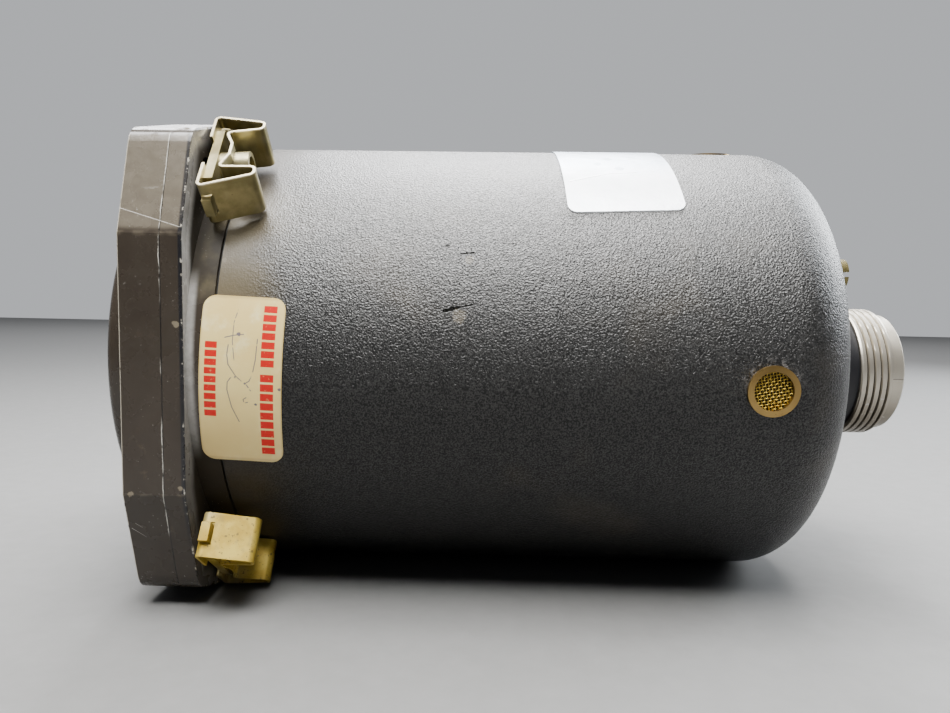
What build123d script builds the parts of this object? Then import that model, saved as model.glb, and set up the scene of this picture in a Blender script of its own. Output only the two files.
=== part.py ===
"""Dual tachometer indicator: a round instrument with two pointers on one dial.

Frame: +X runs along the instrument's axis from the dial to the connector, +Z is up, and the
origin is on the axis in the flange's rear face. Millimetres throughout.
Two magnetic drag units lie side by side in the case. Each motor spins a magnet head round a
drag disc, whose staff turns one of the two coaxial pointer arbors through a gear pair.
"""
import os
from math import cos, pi, radians, sin, tan

from build123d import *

# Flange and bezel: one outline, a square with crowned sides
flange_margin = 0.775
crown_half = 20.1
corner_margin = 5.27
corner_round = 4.0
flange_thick = 3.45
bezel_thick = 6.35
lip_rise = 4.5
lip_wall = 2.0
lip_edge = 1.4
window_bevel = 0.8
screw_margin = 3.95
panel_hole_d = 3.8
screw_thread_d = 3.5

# Collar and case
case_d = 81.0
case_wall = 1.2
case_end_wall = 1.6
case_end = 105.0
case_corner = 11.0
collar_len = 4.05
collar_wall = 2.5
case_gap = 0.45
seal_recess = 0.6
seal_width = 1.7

# Glass and its stack
glass_thick = 2.4
glass_d = 71.0
glass_seat = 2.0
window_depth = 2.2
gasket_thick = 0.6
stack_clear = 0.1

# Dial and pointers
dial_thick = 0.8
dial_face_x = -1.6
dial_clear = 0.3
dial_screw_d = 2.2
dial_screw_head_d = 3.8
dial_screw_head_rise = 0.7
dial_screw_grip = 3.4
dial_post_d = 4.4
dial_hole_clear = 0.7
dial_screw_place = 17.0
pointer_one_len = 28.5
pointer_two_len = 23.0
pointer_tail = 8.5
pointer_thick = 0.5
pointer_hub_d = 6.4
pointer_hub_len = 0.9
pointer_one_width = 2.2
pointer_two_width = 3.0
pointer_taper = 2.2
pointer_gap = 1.1
pointer_zero = 210.0

# Frame plates
ledge_width = 3.4
plate_seat_depth = 1.5
plate_thick = 2.0
plate_clear = 0.1
staff_plate_x = 36.0
motor_plate_x = 58.0
motor_plate_thick = 3.0
rear_plate_x = 90.0
frame_clear = 2.8
pillar_d = 4.4
pillar_edge = 3.5
post_d = 6.0
plate_screw_d = 1.8
plate_screw_head_d = 3.0
plate_screw_head = 1.0
plate_screw_depth = 1.2

# Drag units
running = 0.05
housing_clear = 1.4
housing_wall = 1.4
stator_x = 66.0
stator_len = 18.0
stator_bore_d = 17.4
slot_count = 12
slot_depth = 3.0
slot_width = 1.5
slot_over = 1.0
winding_len = 3.2
winding_inset = 0.4
air_gap = 0.4
shaft_d = 3.2
bearing_d = 9.0
magnet_d = 24.0
magnet_plate = 2.6
magnet_rim = 1.2
magnet_room = 3.2
magnet_clear = 2.0
magnet_eye_d = 7.0
disc_d = 19.0
disc_thick = 0.6
staff_d = 2.0
jewel_d = 5.0
shaft_end = 1.0

# Gears, all alike
gear_module = 0.5
gear_teeth = 33
gear_width = 2.0
gear_backlash = 0.12
gear_two_x = 7.0
gear_one_x = 12.0
arbor_d = 1.6
sleeve_d = 3.2

# Hairsprings
collet_d = 3.8
stud_d = 1.2
spring_x = 24.0
spring_height = 1.2
spring_strip = 0.22
spring_pitch = 1.1
spring_start = 2.4
spring_half_turns = 9

# Connector
connector_drop = 2.0
thread_d = 25.4
thread_start = 116.9
thread_len = 6.0
nose_step = 1.15
nose_len = 2.8
barrel_step = 1.7
barrel_wall = 0.8
boss_wall = 0.9
backing_rim = 1.3
backing_thick = 2.0
insert_len = 11.0
insert_start = 104.5
pin_d = 1.6
pin_circle = 10.6
pin_count = 6
pin_reach = 5.5
pin_tail = 4.0

# Case screws
case_screw_inset = 12.0
case_screw_first = 145.0
case_screw_count = 3
case_screw_d = 3.5
case_screw_head_d = 5.4
case_screw_head = 1.9
case_screw_grip = 5.0
case_screw_clear = 0.15
screw_slot = 0.8

# Vents
vent_x = 89.6
side_vent_angle = -3.0
top_vent_angle = 88.0
vent_d = 7.9
vent_bore_d = 6.0
vent_hole_d = 6.6
vent_rise = 0.45
vent_depth = 2.2
mesh_thick = 0.3
mesh_recess = 0.15
drill_len = 12.0

# Sticker and label
sticker_x0 = 2.05
sticker_x1 = 14.85
sticker_low = -15.1
sticker_high = 10.85
sticker_turn = -2.4
sticker_corner = 2.0
sticker_thick = 0.15
label_x0 = 58.2
label_x1 = 77.3
label_angle = 61.5
label_turn = 2.5
label_half = 15.5
label_corner = 1.6
label_thick = 0.2

# Spring clips and their nuts
strip_thick = 0.4
strip_width = 7.1
strip_shift = 0.2
clip_half = 9.65
clip_tab = 6.0
clip_depth = 8.4
clip_lean = 2.4
clip_foot = 3.9
clip_bow = 1.3
clip_turns = (0.0, 0.0, 11.0, 0.0)
clip_tilts = (0.0, 6.0, -4.0, 0.0)
clip_floats = (0.0, 0.0, 0.35, 0.0)
loop_width = 1.9
loop_round = 0.9
loop_lean = 0.55
bow_flat = 1.4
bend = 0.7
nut_len = 13.2
nut_width = 5.8
nut_thick = 1.4
ear_past = 0.9
notch_deep = 2.0
ear_width = 3.0
ear_clear = 0.3
nut_barrel_d = 5.0
nut_barrel_end = 6.4
barrel_clear = 0.15

# Values that follow from those above
case_r = case_d / 2
collar_bore_d = case_d - 2 * collar_wall
flange_bore_d = collar_bore_d - 2 * ledge_width
flange_width = case_d + 2 * flange_margin
bolt_circle = case_d + 2 * screw_margin
corner_reach = bolt_circle / 2 * cos(pi / 4) + corner_margin
plate_screw_circle = (flange_bore_d + collar_bore_d) / 2
frame_d = case_d - 2 * case_wall - 2 * frame_clear
pillar_circle = frame_d - 2 * pillar_edge
case_screw_circle = case_d - 2 * case_screw_inset
pointer_two_x = dial_face_x - pointer_gap - pointer_hub_len
pointer_one_x = pointer_two_x - pointer_gap - pointer_hub_len
window_d = glass_d - 2 * glass_seat
lip_d = glass_d + 2 * lip_wall
bezel_front = -(flange_thick + bezel_thick)
lip_front = bezel_front - lip_rise
case_start = collar_len + case_gap
case_end_inner = case_end - case_end_wall
glass_front = lip_front + window_depth
glass_rear = glass_front + glass_thick
front_plate_end = plate_seat_depth + plate_thick
dial_rear_x = dial_face_x + dial_thick
pitch_r = gear_module * gear_teeth / 2
motor_plate_end = motor_plate_x + motor_plate_thick
rear_plate_end = rear_plate_x + motor_plate_thick
unit_offset = gear_module * gear_teeth
housing_d = 2 * unit_offset - housing_clear
stator_r = housing_d / 2 - housing_wall
rotor_r = stator_bore_d / 2 - air_gap
magnet_end = motor_plate_x - magnet_clear
magnet_start = magnet_end - 2 * magnet_plate - magnet_room
nose_end = thread_start + thread_len + nose_len
nose_d = thread_d - 2 * nose_step
barrel_d = thread_d - 2 * barrel_step
socket_d = barrel_d - 2 * barrel_wall
boss_d = barrel_d + 2 * boss_wall
backing_d = thread_d + 2 * backing_rim
insert_end = insert_start + insert_len
spring_end_r = spring_start + (spring_half_turns - 1) * spring_pitch / 2
corner_angles = (45, 135, 225, 315)
plate_screw_angles = (0, 90, 180, 270)
case_screw_angles = [case_screw_first + k * 360 / case_screw_count for k in range(case_screw_count)]
units = (("one", unit_offset, gear_one_x), ("two", -unit_offset, gear_two_x))


def rod(d, x0, x1, y=0.0, z=0.0):
    """Round bar along X."""
    bar = Cylinder(d / 2, x1 - x0, align=(Align.CENTER, Align.CENTER, Align.MIN))
    return Pos(x0, y, z) * Rot(0, 90, 0) * bar


def tube(outer, inner, x0, x1, y=0.0, z=0.0):
    """Round tube along X."""
    return rod(outer, x0, x1, y, z) - rod(inner, x0 - 1, x1 + 1, y, z)


def polar(circle, angle):
    """Y and Z of a place on a circle round the axis."""
    return circle / 2 * cos(radians(angle)), circle / 2 * sin(radians(angle))


def save(shape, node):
    """Write one node, as a compound of its separate solids."""
    solids = shape.solids()
    export_step(solids[0] if len(solids) == 1 else Compound(children=list(solids)), f"parts/{node}.step")


def flange_outline():
    """The square with crowned sides that the flange and the bezel share, in the YZ plane."""
    half = flange_width / 2
    quarter = [(half, -crown_half), (half, crown_half), (corner_reach, corner_reach)]
    points = []
    for turn in range(4):
        for y, z in quarter:
            for _ in range(turn):
                y, z = -z, y
            points.append((y, z))
    sketch = Plane.YZ * make_face(Polyline(*points, close=True))
    corners = sketch.vertices().sort_by(lambda v: -(abs(v.Y) * abs(v.Z)))
    sketch = fillet(corners[:4], corner_round)
    return sketch


def panel_holes(x0, x1):
    """Four screw holes at the corners."""
    return [rod(panel_hole_d, x0, x1, *polar(bolt_circle, a)) for a in corner_angles]


def make_flange():
    """Plate with a collar, bored for the dial and stepped for the front plate."""
    body = extrude(flange_outline(), -flange_thick)
    body = body + rod(case_d, 0, collar_len)
    body -= rod(flange_bore_d, -flange_thick - 1, collar_len + 1)
    body -= rod(collar_bore_d, plate_seat_depth, collar_len + 1)
    body -= panel_holes(-flange_thick - 1, 1)
    for angle in plate_screw_angles:
        body -= rod(plate_screw_d, plate_seat_depth - plate_screw_depth, plate_seat_depth + 1,
                    *polar(plate_screw_circle, angle))
    return body


def make_bezel():
    """Front plate of the flange with the raised lip round the window."""
    plate = Pos(-flange_thick, 0, 0) * extrude(flange_outline(), -bezel_thick)
    lip = rod(lip_d, lip_front, bezel_front)
    lip = fillet(lip.edges().filter_by(GeomType.CIRCLE).sort_by(Axis.X)[0], lip_edge)
    body = plate + lip
    body -= rod(window_d, lip_front - 1, 0)
    body -= rod(glass_d + 2 * stack_clear, glass_front, 0)
    body -= panel_holes(bezel_front - 1, 0)
    rim = [e for e in body.edges().filter_by(GeomType.CIRCLE)
           if abs(e.radius - window_d / 2) < 0.01 and e.center().X < lip_front + 0.1]
    return chamfer(rim, window_bevel)


def make_retainer():
    """Ring that clamps the glass and gasket against the window's seat."""
    return tube(glass_d, window_d, glass_rear + gasket_thick, -flange_thick)


def cup_profile(r, end, corner):
    """Half section of the case's outside or inside, in the XY plane."""
    outline = Polyline((case_start, 0), (case_start, r), (end - corner, r))
    outline += RadiusArc((end - corner, r), (end, r - corner), corner)
    outline += Polyline((end, r - corner), (end, 0), (case_start, 0))
    return make_face(outline)


def radial(shape, angle, x):
    """Place a shape that was built upright on the case, at an angle up from the near side."""
    return Rot(90 - angle, 0, 0) * Pos(x, 0, 0) * shape


def inner_profile():
    """Half section of the room inside the case."""
    return cup_profile(case_r - case_wall, case_end_inner, case_corner - case_wall)


def make_case():
    """Deep cup with a large rear corner, bored for the vents, the connector and its screws."""
    body = revolve(cup_profile(case_r, case_end, case_corner), Axis.X)
    body -= revolve(inner_profile(), Axis.X)
    body -= rod(barrel_d, case_end_inner - 1, case_end + 1, 0, -connector_drop)
    hole_d = case_screw_d + 2 * case_screw_clear
    for angle in case_screw_angles:
        body -= rod(hole_d, case_end_inner - 1, case_end + 1, *polar(case_screw_circle, angle))
    drill = Pos(0, 0, case_r) * Cylinder(vent_hole_d / 2, drill_len)
    for angle in (side_vent_angle, top_vent_angle):
        body -= radial(drill, angle, vent_x)
    return body


def shell_band(inner_r, outer_r, x0, x1):
    """Thin round band that follows the case."""
    return tube(2 * outer_r, 2 * inner_r, x0, x1)


def make_vent_rim():
    """Saddle-shaped rim with a short barrel through the case's wall."""
    band = shell_band(case_r, case_r + vent_rise, -vent_d, vent_d)
    saddle = band & Pos(0, 0, case_r) * Cylinder(vent_d / 2, drill_len)
    barrel = Pos(0, 0, case_r - vent_depth / 2) * Cylinder(vent_hole_d / 2, vent_depth)
    barrel &= rod(case_d, -vent_d, vent_d)
    bore = Pos(0, 0, case_r) * Cylinder(vent_bore_d / 2, drill_len)
    return saddle + barrel - bore


def make_vent_mesh():
    """Screen disc across the rim's bore."""
    top = case_r - mesh_recess
    return Pos(0, 0, top - mesh_thick / 2) * Cylinder(vent_bore_d / 2, mesh_thick)


def make_sticker():
    """Paper rectangle with round corners that wraps over the collar, the gap and the case."""
    width = sticker_x1 - sticker_x0
    height = sticker_high - sticker_low
    middle = Pos((sticker_x0 + sticker_x1) / 2, (sticker_low + sticker_high) / 2, 0)
    face = Plane.XZ * middle * Rot(0, 0, sticker_turn) * RectangleRounded(width, height, sticker_corner)
    prism = extrude(face, 2 * case_r)
    return shell_band(case_r, case_r + sticker_thick, sticker_x0 - 1, sticker_x1 + 1) & prism


def make_label():
    """Foil plate bonded to the case's shoulder."""
    width = label_x1 - label_x0
    middle = Pos((label_x0 + label_x1) / 2, 0, 0) * Rot(0, 0, label_turn)
    face = middle * RectangleRounded(width, 2 * label_half, label_corner)
    prism = Rot(90 - label_angle, 0, 0) * extrude(face, 2 * case_r)
    return shell_band(case_r, case_r + label_thick, label_x0 - 1, label_x1 + 1) & prism


def clip_place(shape, corner):
    """Move a clip piece, built at the origin with X rearwards and Y outwards, to a corner."""
    y, z = polar(bolt_circle + 2 * clip_floats[corner], corner_angles[corner])
    tilt = clip_tilts[corner]
    lift = clip_half * sin(radians(abs(tilt)))
    turn = corner_angles[corner] + clip_turns[corner]
    return Pos(lift, y, z) * Rot(turn, 0, 0) * Rot(0, tilt, 0) * shape


def make_clip_spring():
    """Folded strip: two tabs, two outer loops and a bowed middle that holds the nut's barrel."""
    half = strip_thick / 2
    waist = clip_half - clip_lean
    foot_t = waist - loop_width - loop_lean
    points = [
        (half, clip_half - clip_tab), (half, clip_half), (clip_depth, waist),
        (clip_depth, waist - loop_width), (clip_foot - clip_bow, foot_t), (clip_foot, bow_flat)]
    points += [(x, -t) for x, t in reversed(points)]
    bends = [bend, loop_round, loop_round, bend, bend]
    path = Plane.XZ * FilletPolyline(*points, radius=[*bends, *reversed(bends)])
    start = Plane(origin=path @ 0, x_dir=(0, 1, 0), z_dir=path % 0)
    strip = sweep(start * Rectangle(strip_width, strip_thick), path=path)
    strip = Pos(0, strip_shift, 0) * strip
    notch_end = strip_thick + nut_thick + ear_clear
    for side in (1, -1):
        notch = Pos((strip_thick + notch_end) / 2, 0, side * clip_half)
        strip -= notch * Box(notch_end - strip_thick, ear_width + 2 * ear_clear, notch_deep)
    return strip - rod(nut_barrel_d + 2 * barrel_clear, strip_thick + nut_thick, clip_depth + 1)


def make_clip_nut():
    """Bar with two ears and a threaded barrel."""
    middle = Pos(strip_thick + nut_thick / 2, 0, 0)
    body = middle * Box(nut_thick, nut_width, nut_len)
    body += middle * Box(nut_thick, ear_width, 2 * (clip_half + ear_past))
    body += rod(nut_barrel_d, strip_thick, nut_barrel_end)
    return body - rod(screw_thread_d, 0, nut_barrel_end + 1)


def gear_blank(x0, y, bore):
    """Spur gear along X with straight-flanked teeth, a tooth pointing along +Y."""
    tip_r = pitch_r + gear_module
    root_r = pitch_r - 1.2 * gear_module
    thick = pi * gear_module / 2 - gear_backlash
    slope = tan(radians(20))
    tooth = [
        (root_r - 0.1, -thick / 2 - 1.3 * gear_module * slope), (tip_r, -thick / 2 + gear_module * slope),
        (tip_r, thick / 2 - gear_module * slope), (root_r - 0.1, thick / 2 + 1.3 * gear_module * slope)]
    points = []
    for k in range(gear_teeth):
        a = 2 * pi * k / gear_teeth
        points += [(r * cos(a) - w * sin(a), r * sin(a) + w * cos(a)) for r, w in tooth]
    face = Plane.YZ * make_face(Polyline(*points, close=True))
    gear = Pos(x0, y, 0) * extrude(face, gear_width)
    return gear - rod(bore, x0 - 1, x0 + gear_width + 1, y) if bore else gear


def make_pointer(length, width, bore, x0):
    """Flat lance-shaped pointer with a hub and a tail, at its zero mark."""
    points = [
        (-width / 2, -pointer_tail), (width / 2, -pointer_tail), (width / 2, length - pointer_taper * width),
        (0, length), (-width / 2, length - pointer_taper * width)]
    blade = extrude(Plane.YZ * make_face(Polyline(*points, close=True)), pointer_thick)
    hub = rod(pointer_hub_d, 0, pointer_hub_len)
    pointer = Pos(x0, 0, 0) * (blade + hub) - rod(bore, x0 - 1, x0 + pointer_hub_len + 1)
    return Rot(pointer_zero, 0, 0) * pointer


def make_spring(y):
    """Flat spiral of half circles, from the collet's radius out to its stud."""
    half = spring_strip / 2

    def curve(shift):
        arcs = []
        r = spring_start
        centre = 0.0
        for k in range(spring_half_turns):
            side = 1 if k % 2 == 0 else -1
            reach = r + shift
            arcs.append(CenterArc((centre, 0), reach, 0 if side > 0 else 180, 180))
            centre += side * spring_pitch / 2
            r += spring_pitch / 2
        return arcs

    outer = curve(half)
    inner = curve(-half)
    caps = [Line(outer[0] @ 0, inner[0] @ 0), Line(outer[-1] @ 1, inner[-1] @ 1)]
    face = make_face(Plane.YZ * Curve(children=[*outer, *inner, *caps]))
    return Pos(spring_x, y, 0) * extrude(face, spring_height)


def make_stator(y):
    """Slotted ring."""
    ring = tube(2 * stator_r, stator_bore_d, stator_x, stator_x + stator_len, y)
    slot = Pos(stator_x + stator_len / 2, 0, stator_bore_d / 2 + slot_depth / 2 - slot_over / 2)
    slot *= Box(stator_len + 1, slot_width, slot_depth + slot_over)
    for k in range(slot_count):
        ring -= Pos(0, y, 0) * Rot(k * 360 / slot_count, 0, 0) * slot
    return ring


def make_magnet_head(y):
    """Hollow head: two magnet plates with a rim, and an eye for the drag disc's staff."""
    body = rod(magnet_d, magnet_start, magnet_end, y)
    body -= rod(magnet_d - 2 * magnet_rim, magnet_start + magnet_plate, magnet_end - magnet_plate, y)
    body -= rod(magnet_eye_d, magnet_start - 1, magnet_start + magnet_plate + 1, y)
    return body


def make_connector_shell():
    """Turned shell: backing flange, barrel, coupling thread's envelope and nose."""
    z = -connector_drop
    body = rod(backing_d, case_end_inner - backing_thick, case_end_inner, 0, z)
    body += rod(barrel_d, case_end_inner - backing_thick, thread_start, 0, z)
    body += rod(thread_d, thread_start, thread_start + thread_len, 0, z)
    body += rod(nose_d, thread_start + thread_len, nose_end, 0, z)
    return body - rod(socket_d, case_end_inner - backing_thick - 1, nose_end + 1, 0, z)


def pin_places():
    """One pin in the middle and a ring of six."""
    ring = [polar(pin_circle, 90 + k * 360 / pin_count) for k in range(pin_count)]
    return [(y, z - connector_drop) for y, z in [(0.0, 0.0), *ring]]


def make_screw(d, head_d, head, x_seat, grip, y, z, faces=1):
    """Slotted cheese-head screw along X; faces is +1 where the head is on the rear side."""
    shank = rod(d, min(x_seat, x_seat - faces * grip), max(x_seat, x_seat - faces * grip), y, z)
    top = x_seat + faces * head
    body = shank + rod(head_d, min(x_seat, top), max(x_seat, top), y, z)
    return body - Pos(top, y, z) * Box(head, head_d + 1, screw_slot)


def build():
    """Build and write every node."""
    os.makedirs("parts", exist_ok=True)
    save(make_flange(), "mounting_flange")
    save(make_bezel(), "bezel")
    save(rod(glass_d, glass_front, glass_rear), "cover_glass")
    save(tube(glass_d, window_d, glass_rear, glass_rear + gasket_thick), "glass_gasket")
    save(make_retainer(), "glass_retainer")
    save(make_case(), "case")
    seal_d = case_d - 2 * seal_recess
    save(tube(seal_d, seal_d - 2 * seal_width, collar_len, case_start), "case_seal")
    make_front()
    make_frame()
    make_units()
    make_connector()
    make_outside()


def make_front():
    """Dial, its screws and the two pointers with their arbors."""
    dial = tube(flange_bore_d - 2 * dial_clear, sleeve_d + 2 * dial_hole_clear, dial_face_x, dial_rear_x)
    for side in (1, -1):
        dial -= rod(dial_screw_d, dial_face_x - 1, 0, 0, side * dial_screw_place)
    save(dial, "dial")
    screws = [
        make_screw(dial_screw_d, dial_screw_head_d, dial_screw_head_rise, dial_face_x, dial_screw_grip, 0,
                   side * dial_screw_place, faces=-1)
        for side in (1, -1)]
    save(Compound(children=screws), "dial_screws")
    save(make_pointer(pointer_one_len, pointer_one_width, arbor_d, pointer_one_x), "pointer_one")
    save(make_pointer(pointer_two_len, pointer_two_width, sleeve_d, pointer_two_x), "pointer_two")
    inner = rod(arbor_d, pointer_one_x, staff_plate_x + plate_thick)
    save(inner + gear_blank(gear_one_x, 0, 0), "pointer_arbor_one")
    sleeve = rod(sleeve_d, pointer_two_x, gear_two_x + gear_width) + gear_blank(gear_two_x, 0, 0)
    bore = rod(arbor_d + 2 * running, pointer_two_x - 1, gear_two_x + gear_width + 1)
    save(sleeve - bore, "pointer_arbor_two")


def make_frame():
    """Plates, pillars, posts and their screws."""
    front = rod(collar_bore_d - 2 * plate_clear, plate_seat_depth, front_plate_end)
    thread_end = dial_face_x + dial_screw_grip
    for side in (1, -1):
        front += rod(dial_post_d, dial_rear_x, plate_seat_depth, 0, side * dial_screw_place)
        front -= rod(dial_screw_d, dial_rear_x - 1, thread_end, 0, side * dial_screw_place)
    front -= rod(sleeve_d + 2 * running, 0, front_plate_end + 1)
    for angle in plate_screw_angles:
        front -= rod(plate_screw_d, 0, front_plate_end + 1, *polar(plate_screw_circle, angle))
    staff = rod(frame_d, staff_plate_x, staff_plate_x + plate_thick)
    staff -= rod(arbor_d + 2 * running, staff_plate_x - 1, staff_plate_x + plate_thick + 1)
    motor = rod(frame_d, motor_plate_x, motor_plate_end)
    rear = rod(frame_d, rear_plate_x, rear_plate_end)
    for _, y, _ in units:
        front -= rod(jewel_d, 0, front_plate_end + 1, y)
        staff -= rod(jewel_d, staff_plate_x - 1, staff_plate_x + plate_thick + 1, y)
        motor -= rod(bearing_d, motor_plate_x - 1, motor_plate_end + 1, y)
        rear -= rod(bearing_d, rear_plate_x - 1, rear_plate_end + 1, y)
    save(front, "front_plate")
    save(staff, "staff_plate")
    save(motor, "motor_plate")
    save(rear, "rear_plate")
    bays = ((front_plate_end, staff_plate_x), (staff_plate_x + plate_thick, motor_plate_x),
            (motor_plate_end, rear_plate_x))
    pillars = [rod(pillar_d, x0, x1, *polar(pillar_circle, a)) for x0, x1 in bays for a in corner_angles]
    save(Compound(children=pillars), "frame_pillars")
    posts = []
    screws = []
    inside = revolve(inner_profile(), Axis.X)
    for angle in case_screw_angles:
        y, z = polar(case_screw_circle, angle)
        post = rod(post_d, rear_plate_end, case_end_inner, y, z) & inside
        posts.append(post - rod(case_screw_d, case_end - case_screw_grip, case_end + 1, y, z))
        screws.append(make_screw(case_screw_d, case_screw_head_d, case_screw_head, case_end,
                                 case_screw_grip, y, z))
    save(Compound(children=posts), "case_posts")
    save(Compound(children=screws), "case_screws")
    grip = plate_thick + plate_screw_depth
    plate_screws = [
        make_screw(plate_screw_d, plate_screw_head_d, plate_screw_head, front_plate_end, grip,
                   *polar(plate_screw_circle, a)) for a in plate_screw_angles]
    save(Compound(children=plate_screws), "plate_screws")


def make_units():
    """The two drag units, each with its motor, magnet head, drag disc, staff and hairspring."""
    motor_bearings = []
    staff_bearings = []
    studs = []
    for name, y, gear_x in units:
        save(tube(housing_d, 2 * stator_r, motor_plate_end, rear_plate_x, y), f"motor_housing_{name}")
        save(make_stator(y), f"stator_{name}")
        outer = 2 * (stator_r - winding_inset)
        inner = stator_bore_d + 2 * winding_inset
        ends = (stator_x - winding_len, stator_x + stator_len)
        coils = [tube(outer, inner, x, x + winding_len, y) for x in ends]
        save(Compound(children=coils), f"winding_{name}")
        rotor = tube(2 * rotor_r, shaft_d, stator_x, stator_x + stator_len, y)
        save(rotor, f"rotor_{name}")
        save(rod(shaft_d, magnet_end, rear_plate_end + shaft_end, y), f"rotor_shaft_{name}")
        save(make_magnet_head(y), f"magnet_head_{name}")
        disc_x = (magnet_start + magnet_end - disc_thick) / 2
        save(tube(disc_d, staff_d, disc_x, disc_x + disc_thick, y), f"drag_disc_{name}")
        staff = rod(staff_d, plate_seat_depth, disc_x + disc_thick, y) + gear_blank(gear_x, y, 0)
        staff += rod(collet_d, spring_x, spring_x + spring_height, y)
        save(staff, f"staff_{name}")
        save(make_spring(y), f"hairspring_{name}")
        for x0 in (motor_plate_x, rear_plate_x):
            motor_bearings.append(tube(bearing_d, shaft_d + 2 * running, x0, x0 + motor_plate_thick, y))
        for x0 in (plate_seat_depth, staff_plate_x):
            staff_bearings.append(tube(jewel_d, staff_d + 2 * running, x0, x0 + plate_thick, y))
        stud_y = y - spring_end_r - stud_d / 2 + spring_strip / 2
        studs.append(rod(stud_d, spring_x, staff_plate_x, stud_y) - make_spring(y))
    save(Compound(children=studs), "spring_studs")
    save(Compound(children=motor_bearings), "motor_bearings")
    save(Compound(children=staff_bearings), "staff_bearings")


def make_connector():
    """Rear connector: boss, shell, insert and pins."""
    z = -connector_drop
    save(tube(boss_d, barrel_d, case_end, thread_start, 0, z), "connector_boss")
    save(make_connector_shell(), "connector_shell")
    insert = rod(socket_d, insert_start, insert_end, 0, z)
    pins = []
    for y, pin_z in pin_places():
        insert -= rod(pin_d, insert_start - 1, insert_end + 1, y, pin_z)
        pins.append(rod(pin_d, insert_start - pin_tail, insert_end + pin_reach, y, pin_z))
    save(insert, "connector_insert")
    save(Compound(children=pins), "connector_pins")


def make_outside():
    """Vents, sticker, label and the four clip nuts."""
    for name, angle in (("side", side_vent_angle), ("top", top_vent_angle)):
        save(radial(make_vent_rim(), angle, vent_x), f"{name}_vent_rim")
        save(radial(make_vent_mesh(), angle, vent_x), f"{name}_vent_mesh")
    save(make_sticker(), "inspection_sticker")
    save(make_label(), "label_plate")
    spring = make_clip_spring()
    nut = make_clip_nut()
    for corner in range(len(corner_angles)):
        save(clip_place(spring, corner), f"clip_spring_{corner + 1}")
        save(clip_place(nut, corner), f"clip_nut_{corner + 1}")


build()
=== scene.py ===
"""Looks of the dual tachometer indicator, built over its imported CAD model.

The frame is the CAD's: +X from the dial to the connector, +Z up, the photograph's camera at -Y.
Blender's lengths are metres. Sizes and places named here are millimetres, unless they say metres.
"""
from math import atan2, cos, degrees, pi, radians, sin, sqrt

import bmesh
import bpy
from mathutils import Matrix, Vector


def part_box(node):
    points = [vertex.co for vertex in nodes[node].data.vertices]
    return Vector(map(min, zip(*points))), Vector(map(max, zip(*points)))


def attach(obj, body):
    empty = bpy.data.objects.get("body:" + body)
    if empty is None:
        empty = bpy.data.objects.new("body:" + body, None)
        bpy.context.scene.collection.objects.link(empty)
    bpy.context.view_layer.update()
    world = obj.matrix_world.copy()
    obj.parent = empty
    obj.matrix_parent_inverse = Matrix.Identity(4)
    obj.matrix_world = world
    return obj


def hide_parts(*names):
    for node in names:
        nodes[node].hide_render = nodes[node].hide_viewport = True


MM = 0.001
ROOT = "instrument"

# The photograph's camera, fitted to the outline
PHOTO_WIDTH = 950
SENSOR_WIDTH = 36.0
FOCAL_PX = 706.9
CENTRE_SHIFT_PX = (4.04, 7.20)
CAMERA_PLACE = (47.55, -147.5, 9.83)
CAMERA_YAW = 0.023
CAMERA_PITCH = 0.080
CAMERA_ROLL = 0.017

# Sizes of the CAD that its nodes' boxes don't give
CROWN_HALF = 20.1
CORNER_REACH = 36.70
BEZEL_LIP = 4.5
CASE_CORNER = 11.0
CONNECTOR_DROP = 2.0
SIDE_VENT = (89.6, -3.0)
TOP_VENT_ANGLE = 88.0
STICKER_MIDDLE = (8.45, -2.15)
STICKER_TURN = radians(2.4)
STICKER_THICK = 0.15
LABEL_THICK = 0.2

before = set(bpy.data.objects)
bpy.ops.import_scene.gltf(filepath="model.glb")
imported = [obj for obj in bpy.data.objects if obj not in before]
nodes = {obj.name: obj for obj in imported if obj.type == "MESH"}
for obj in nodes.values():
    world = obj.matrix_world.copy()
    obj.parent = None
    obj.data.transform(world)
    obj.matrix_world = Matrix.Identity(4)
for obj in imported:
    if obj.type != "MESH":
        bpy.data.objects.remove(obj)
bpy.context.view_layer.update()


def span(name):
    """Lowest and highest corner of a CAD node, as vectors."""
    low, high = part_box(name)
    return Vector(low), Vector(high)


# From the frame, in metres
case_low, case_high = span("case")
case_r = (case_high.z - case_low.z) / 2
flange_low, flange_high = span("mounting_flange")
flange_half = flange_high.z
joint_x = flange_low.x
plate_front = span("bezel")[0].x + BEZEL_LIP * MM
dial_front = span("dial")[0].x


def at(x, y, z):
    """Point in metres, from its place in millimetres."""
    return Vector((x, y, z)) * MM


def on_case(along, angle, lift=0.0):
    """Point on the case, at an angle in degrees up from the side that faces the camera."""
    r = case_r + lift * MM
    a = radians(angle)
    return Vector((along * MM, -r * cos(a), r * sin(a)))


def on_sticker(along, across):
    """Point on the sticker's face, from its middle and in its own turned frame."""
    c, n = cos(STICKER_TURN), sin(STICKER_TURN)
    x = STICKER_MIDDLE[0] + along * c + across * n
    arc = STICKER_MIDDLE[1] - along * n + across * c
    return on_case(x, degrees(arc * MM / case_r), STICKER_THICK)


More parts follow.
